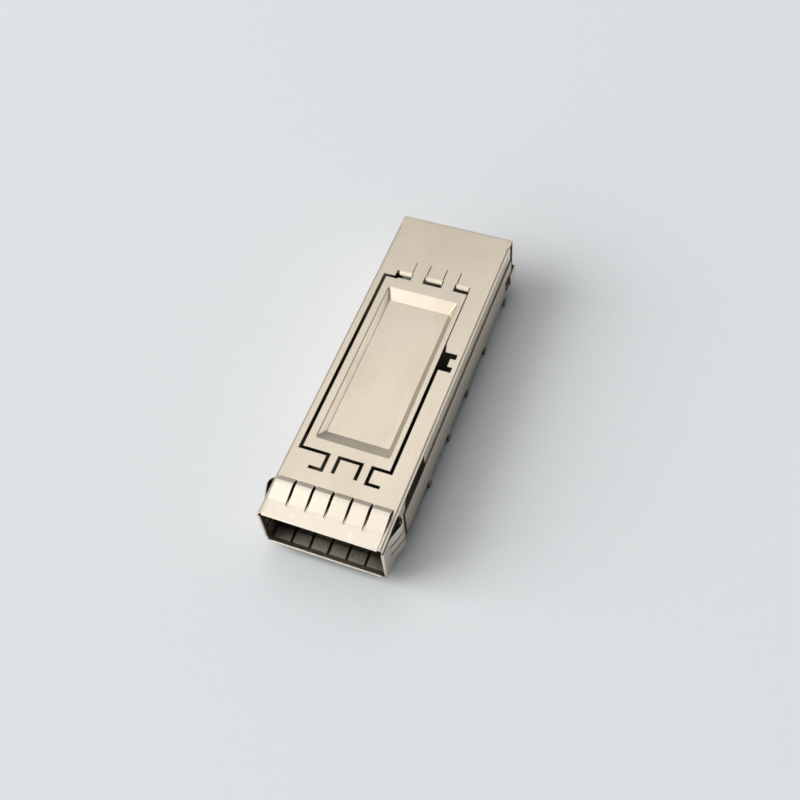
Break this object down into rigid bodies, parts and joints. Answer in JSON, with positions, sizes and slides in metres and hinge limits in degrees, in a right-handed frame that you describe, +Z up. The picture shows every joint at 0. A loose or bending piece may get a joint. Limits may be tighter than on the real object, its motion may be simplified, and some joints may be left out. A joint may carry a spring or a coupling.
{
  "type": "qsfp cage",
  "caption": "Folded sheet-metal port cage for a pluggable network module, with a sprung top panel, spring-finger collar round the mouth, side latch leaves and press-fit board tails.",
  "frame": {"origin": "middle of the footprint on the board plane, under the bottom plate", "axes": "+Z up from the board, +Y from the mouth to the rear along the module's way in, +X to the right seen from the mouth"},
  "size_m": [0.0212, 0.0596, 0.0124],
  "materials": {
    "cover_plate": "satin nickel plate",
    "base_plate": "satin nickel plate",
    "spring_strip": "bright nickel plate"
  },
  "bodies": {
    "root": {"cage_cover": "cover_plate", "cage_base": "base_plate", "emi_spring_top": "spring_strip", "emi_spring_bottom": "spring_strip", "emi_spring_left": "spring_strip", "emi_spring_right": "spring_strip"}
  },
  "joints": []
}
